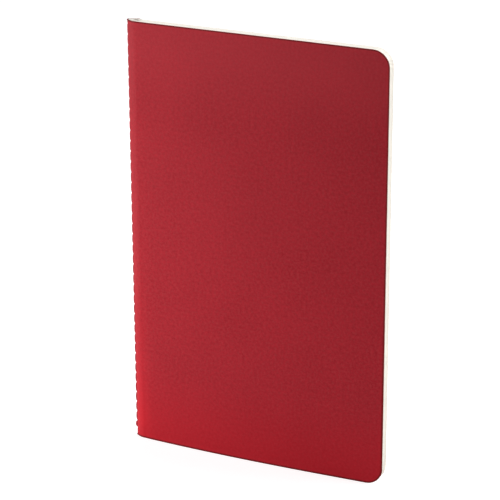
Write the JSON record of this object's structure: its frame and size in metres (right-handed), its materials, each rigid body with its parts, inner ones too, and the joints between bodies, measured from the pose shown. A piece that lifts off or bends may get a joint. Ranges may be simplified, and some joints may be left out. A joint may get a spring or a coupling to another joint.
{
  "type": "notebook",
  "caption": "Slim thread-sewn notebook with a soft red card cover, rounded fore-edge corners, ivory leaves and a pocket inside the back cover.",
  "frame": {"origin": "centre of the closed notebook's bounding box at the height of its tail edge, which it stands on", "axes": "+X from the spine to the fore-edge, -Y out of the front cover, +Z from tail to head"},
  "size_m": [0.1309, 0.006, 0.21],
  "materials": {
    "card": "matte, through-dyed card",
    "paper": "matte ivory writing paper",
    "pocket_paper": "matte ivory card",
    "thread": "matte dyed sewing thread"
  },
  "bodies": {
    "back_cover": {"back_cover": "card", "pocket_panel": "pocket_paper", "pocket_tail_flap": "pocket_paper", "pocket_spine_flap": "pocket_paper", "pocket_fore_edge_flap": "pocket_paper"},
    "sewn_back": {"spine_card": "card", "nested_folds": "paper", "needle_thread": "thread", "bobbin_thread": "thread"},
    "front_cover": {"front_cover": "card"},
    "leaf_01": {"leaf_01": "paper"},
    "leaf_02": {"leaf_02": "paper"},
    "leaf_03": {"leaf_03": "paper"},
    "leaf_04": {"leaf_04": "paper"},
    "leaf_05": {"leaf_05": "paper"},
    "leaf_06": {"leaf_06": "paper"},
    "leaf_07": {"leaf_07": "paper"},
    "leaf_08": {"leaf_08": "paper"},
    "leaf_09": {"leaf_09": "paper"},
    "leaf_10": {"leaf_10": "paper"},
    "leaf_11": {"leaf_11": "paper"},
    "leaf_12": {"leaf_12": "paper"},
    "leaf_13": {"leaf_13": "paper"},
    "leaf_14": {"leaf_14": "paper"},
    "leaf_15": {"leaf_15": "paper"},
    "leaf_16": {"leaf_16": "paper"},
    "leaf_17": {"leaf_17": "paper"},
    "leaf_18": {"leaf_18": "paper"},
    "leaf_19": {"leaf_19": "paper"},
    "leaf_20": {"leaf_20": "paper"},
    "leaf_21": {"leaf_21": "paper"},
    "leaf_22": {"leaf_22": "paper"},
    "leaf_23": {"leaf_23": "paper"},
    "leaf_24": {"leaf_24": "paper"},
    "leaf_25": {"leaf_25": "paper"},
    "leaf_26": {"leaf_26": "paper"},
    "leaf_27": {"leaf_27": "paper"},
    "leaf_28": {"leaf_28": "paper"},
    "leaf_29": {"leaf_29": "paper"},
    "leaf_30": {"leaf_30": "paper"},
    "leaf_31": {"leaf_31": "paper"},
    "leaf_32": {"leaf_32": "paper"},
    "leaf_33": {"leaf_33": "paper"},
    "leaf_34": {"leaf_34": "paper"},
    "leaf_35": {"leaf_35": "paper"},
    "leaf_36": {"leaf_36": "paper"},
    "leaf_37": {"leaf_37": "paper"},
    "leaf_38": {"leaf_38": "paper"},
    "leaf_39": {"leaf_39": "paper"},
    "leaf_40": {"leaf_40": "paper"}
  },
  "joints": [
    {"name": "opening", "type": "hinge", "parent": "back_cover", "child": "leaf_01", "pos_m": [-0.06153, 0, 0.105], "axis": [0, 0, -1], "range_deg": [0, 175]},
    {"name": "front_cover_crease", "type": "hinge", "parent": "leaf_01", "child": "front_cover", "pos_m": [-0.05876, -0.00349, 0.105], "axis": [0, 0, -1], "range_deg": [0, 175]},
    {"name": "spine_turn", "type": "hinge", "parent": "back_cover", "child": "sewn_back", "pos_m": [-0.06153, 0, 0.105], "axis": [0, 0, -1], "range_deg": [0, 87.51]},
    {"name": "leaf_02_turn", "type": "hinge", "parent": "back_cover", "child": "leaf_02", "pos_m": [-0.06153, 0, 0.105], "axis": [0, 0, -1], "range_deg": [0, 173.61]},
    {"name": "leaf_03_turn", "type": "hinge", "parent": "back_cover", "child": "leaf_03", "pos_m": [-0.06153, 0, 0.105], "axis": [0, 0, -1], "range_deg": [0, 172.21]},
    {"name": "leaf_04_turn", "type": "hinge", "parent": "back_cover", "child": "leaf_04", "pos_m": [-0.06153, 0, 0.105], "axis": [0, 0, -1], "range_deg": [0, 170.81]},
    {"name": "leaf_05_turn", "type": "hinge", "parent": "back_cover", "child": "leaf_05", "pos_m": [-0.06153, 0, 0.105], "axis": [0, 0, -1], "range_deg": [0, 169.41]},
    {"name": "leaf_06_turn", "type": "hinge", "parent": "back_cover", "child": "leaf_06", "pos_m": [-0.06153, 0, 0.105], "axis": [0, 0, -1], "range_deg": [0, 168.01]},
    {"name": "leaf_07_turn", "type": "hinge", "parent": "back_cover", "child": "leaf_07", "pos_m": [-0.06153, 0, 0.105], "axis": [0, 0, -1], "range_deg": [0, 166.61]},
    {"name": "leaf_08_turn", "type": "hinge", "parent": "back_cover", "child": "leaf_08", "pos_m": [-0.06153, 0, 0.105], "axis": [0, 0, -1], "range_deg": [0, 165.21]},
    {"name": "leaf_09_turn", "type": "hinge", "parent": "back_cover", "child": "leaf_09", "pos_m": [-0.06153, 0, 0.105], "axis": [0, 0, -1], "range_deg": [0, 163.81]},
    {"name": "leaf_10_turn", "type": "hinge", "parent": "back_cover", "child": "leaf_10", "pos_m": [-0.06153, 0, 0.105], "axis": [0, 0, -1], "range_deg": [0, 162.41]},
    {"name": "leaf_11_turn", "type": "hinge", "parent": "back_cover", "child": "leaf_11", "pos_m": [-0.06153, 0, 0.105], "axis": [0, 0, -1], "range_deg": [0, 161.01]},
    {"name": "leaf_12_turn", "type": "hinge", "parent": "back_cover", "child": "leaf_12", "pos_m": [-0.06153, 0, 0.105], "axis": [0, 0, -1], "range_deg": [0, 159.61]},
    {"name": "leaf_13_turn", "type": "hinge", "parent": "back_cover", "child": "leaf_13", "pos_m": [-0.06153, 0, 0.105], "axis": [0, 0, -1], "range_deg": [0, 158.21]},
    {"name": "leaf_14_turn", "type": "hinge", "parent": "back_cover", "child": "leaf_14", "pos_m": [-0.06153, 0, 0.105], "axis": [0, 0, -1], "range_deg": [0, 156.81]},
    {"name": "leaf_15_turn", "type": "hinge", "parent": "back_cover", "child": "leaf_15", "pos_m": [-0.06153, 0, 0.105], "axis": [0, 0, -1], "range_deg": [0, 155.41]},
    {"name": "leaf_16_turn", "type": "hinge", "parent": "back_cover", "child": "leaf_16", "pos_m": [-0.06153, 0, 0.105], "axis": [0, 0, -1], "range_deg": [0, 154.01]},
    {"name": "leaf_17_turn", "type": "hinge", "parent": "back_cover", "child": "leaf_17", "pos_m": [-0.06153, 0, 0.105], "axis": [0, 0, -1], "range_deg": [0, 152.61]},
    {"name": "leaf_18_turn", "type": "hinge", "parent": "back_cover", "child": "leaf_18", "pos_m": [-0.06153, 0, 0.105], "axis": [0, 0, -1], "range_deg": [0, 151.21]},
    {"name": "leaf_19_turn", "type": "hinge", "parent": "back_cover", "child": "leaf_19", "pos_m": [-0.06153, 0, 0.105], "axis": [0, 0, -1], "range_deg": [0, 149.81]},
    {"name": "leaf_20_turn", "type": "hinge", "parent": "back_cover", "child": "leaf_20", "pos_m": [-0.06153, 0, 0.105], "axis": [0, 0, -1], "range_deg": [0, 148.41]},
    {"name": "leaf_21_turn", "type": "hinge", "parent": "back_cover", "child": "leaf_21", "pos_m": [-0.06153, 0, 0.105], "axis": [0, 0, -1], "range_deg": [0, 27.31]},
    {"name": "leaf_22_turn", "type": "hinge", "parent": "back_cover", "child": "leaf_22", "pos_m": [-0.06153, 0, 0.105], "axis": [0, 0, -1], "range_deg": [0, 25.91]},
    {"name": "leaf_23_turn", "type": "hinge", "parent": "back_cover", "child": "leaf_23", "pos_m": [-0.06153, 0, 0.105], "axis": [0, 0, -1], "range_deg": [0, 24.51]},
    {"name": "leaf_24_turn", "type": "hinge", "parent": "back_cover", "child": "leaf_24", "pos_m": [-0.06153, 0, 0.105], "axis": [0, 0, -1], "range_deg": [0, 23.11]},
    {"name": "leaf_25_turn", "type": "hinge", "parent": "back_cover", "child": "leaf_25", "pos_m": [-0.06153, 0, 0.105], "axis": [0, 0, -1], "range_deg": [0, 21.71]},
    {"name": "leaf_26_turn", "type": "hinge", "parent": "back_cover", "child": "leaf_26", "pos_m": [-0.06153, 0, 0.105], "axis": [0, 0, -1], "range_deg": [0, 20.31]},
    {"name": "leaf_27_turn", "type": "hinge", "parent": "back_cover", "child": "leaf_27", "pos_m": [-0.06153, 0, 0.105], "axis": [0, 0, -1], "range_deg": [0, 18.91]},
    {"name": "leaf_28_turn", "type": "hinge", "parent": "back_cover", "child": "leaf_28", "pos_m": [-0.06153, 0, 0.105], "axis": [0, 0, -1], "range_deg": [0, 17.51]},
    {"name": "leaf_29_turn", "type": "hinge", "parent": "back_cover", "child": "leaf_29", "pos_m": [-0.06153, 0, 0.105], "axis": [0, 0, -1], "range_deg": [0, 16.11]},
    {"name": "leaf_30_turn", "type": "hinge", "parent": "back_cover", "child": "leaf_30", "pos_m": [-0.06153, 0, 0.105], "axis": [0, 0, -1], "range_deg": [0, 14.71]},
    {"name": "leaf_31_turn", "type": "hinge", "parent": "back_cover", "child": "leaf_31", "pos_m": [-0.06153, 0, 0.105], "axis": [0, 0, -1], "range_deg": [0, 13.31]},
    {"name": "leaf_32_turn", "type": "hinge", "parent": "back_cover", "child": "leaf_32", "pos_m": [-0.06153, 0, 0.105], "axis": [0, 0, -1], "range_deg": [0, 11.91]},
    {"name": "leaf_33_turn", "type": "hinge", "parent": "back_cover", "child": "leaf_33", "pos_m": [-0.06153, 0, 0.105], "axis": [0, 0, -1], "range_deg": [0, 10.51]},
    {"name": "leaf_34_turn", "type": "hinge", "parent": "back_cover", "child": "leaf_34", "pos_m": [-0.06153, 0, 0.105], "axis": [0, 0, -1], "range_deg": [0, 9.11]},
    {"name": "leaf_35_turn", "type": "hinge", "parent": "back_cover", "child": "leaf_35", "pos_m": [-0.06153, 0, 0.105], "axis": [0, 0, -1], "range_deg": [0, 7.71]},
    {"name": "leaf_36_turn", "type": "hinge", "parent": "back_cover", "child": "leaf_36", "pos_m": [-0.06153, 0, 0.105], "axis": [0, 0, -1], "range_deg": [0, 6.31]},
    {"name": "leaf_37_turn", "type": "hinge", "parent": "back_cover", "child": "leaf_37", "pos_m": [-0.06153, 0, 0.105], "axis": [0, 0, -1], "range_deg": [0, 4.91]},
    {"name": "leaf_38_turn", "type": "hinge", "parent": "back_cover", "child": "leaf_38", "pos_m": [-0.06153, 0, 0.105], "axis": [0, 0, -1], "range_deg": [0, 3.51]},
    {"name": "leaf_39_turn", "type": "hinge", "parent": "back_cover", "child": "leaf_39", "pos_m": [-0.06153, 0, 0.105], "axis": [0, 0, -1], "range_deg": [0, 2.11]},
    {"name": "leaf_40_turn", "type": "hinge", "parent": "back_cover", "child": "leaf_40", "pos_m": [-0.06153, 0, 0.105], "axis": [0, 0, -1], "range_deg": [0, 0.71]}
  ],
  "couplings": [
    {"joint": "spine_turn", "follows": "opening", "ratio": 0.5},
    {"joint": "leaf_02_turn", "follows": "opening", "ratio": 0.992},
    {"joint": "leaf_03_turn", "follows": "opening", "ratio": 0.984},
    {"joint": "leaf_04_turn", "follows": "opening", "ratio": 0.976},
    {"joint": "leaf_05_turn", "follows": "opening", "ratio": 0.968},
    {"joint": "leaf_06_turn", "follows": "opening", "ratio": 0.96},
    {"joint": "leaf_07_turn", "follows": "opening", "ratio": 0.952},
    {"joint": "leaf_08_turn", "follows": "opening", "ratio": 0.944},
    {"joint": "leaf_09_turn", "follows": "opening", "ratio": 0.936},
    {"joint": "leaf_10_turn", "follows": "opening", "ratio": 0.928},
    {"joint": "leaf_11_turn", "follows": "opening", "ratio": 0.92},
    {"joint": "leaf_12_turn", "follows": "opening", "ratio": 0.912},
    {"joint": "leaf_13_turn", "follows": "opening", "ratio": 0.904},
    {"joint": "leaf_14_turn", "follows": "opening", "ratio": 0.896},
    {"joint": "leaf_15_turn", "follows": "opening", "ratio": 0.888},
    {"joint": "leaf_16_turn", "follows": "opening", "ratio": 0.88},
    {"joint": "leaf_17_turn", "follows": "opening", "ratio": 0.872},
    {"joint": "leaf_18_turn", "follows": "opening", "ratio": 0.864},
    {"joint": "leaf_19_turn", "follows": "opening", "ratio": 0.856},
    {"joint": "leaf_20_turn", "follows": "opening", "ratio": 0.848},
    {"joint": "leaf_21_turn", "follows": "opening", "ratio": 0.156},
    {"joint": "leaf_22_turn", "follows": "opening", "ratio": 0.148},
    {"joint": "leaf_23_turn", "follows": "opening", "ratio": 0.14},
    {"joint": "leaf_24_turn", "follows": "opening", "ratio": 0.132},
    {"joint": "leaf_25_turn", "follows": "opening", "ratio": 0.124},
    {"joint": "leaf_26_turn", "follows": "opening", "ratio": 0.116},
    {"joint": "leaf_27_turn", "follows": "opening", "ratio": 0.108},
    {"joint": "leaf_28_turn", "follows": "opening", "ratio": 0.1},
    {"joint": "leaf_29_turn", "follows": "opening", "ratio": 0.092},
    {"joint": "leaf_30_turn", "follows": "opening", "ratio": 0.084},
    {"joint": "leaf_31_turn", "follows": "opening", "ratio": 0.076},
    {"joint": "leaf_32_turn", "follows": "opening", "ratio": 0.068},
    {"joint": "leaf_33_turn", "follows": "opening", "ratio": 0.06},
    {"joint": "leaf_34_turn", "follows": "opening", "ratio": 0.052},
    {"joint": "leaf_35_turn", "follows": "opening", "ratio": 0.044},
    {"joint": "leaf_36_turn", "follows": "opening", "ratio": 0.036},
    {"joint": "leaf_37_turn", "follows": "opening", "ratio": 0.028},
    {"joint": "leaf_38_turn", "follows": "opening", "ratio": 0.02},
    {"joint": "leaf_39_turn", "follows": "opening", "ratio": 0.012},
    {"joint": "leaf_40_turn", "follows": "opening", "ratio": 0.004}
  ]
}
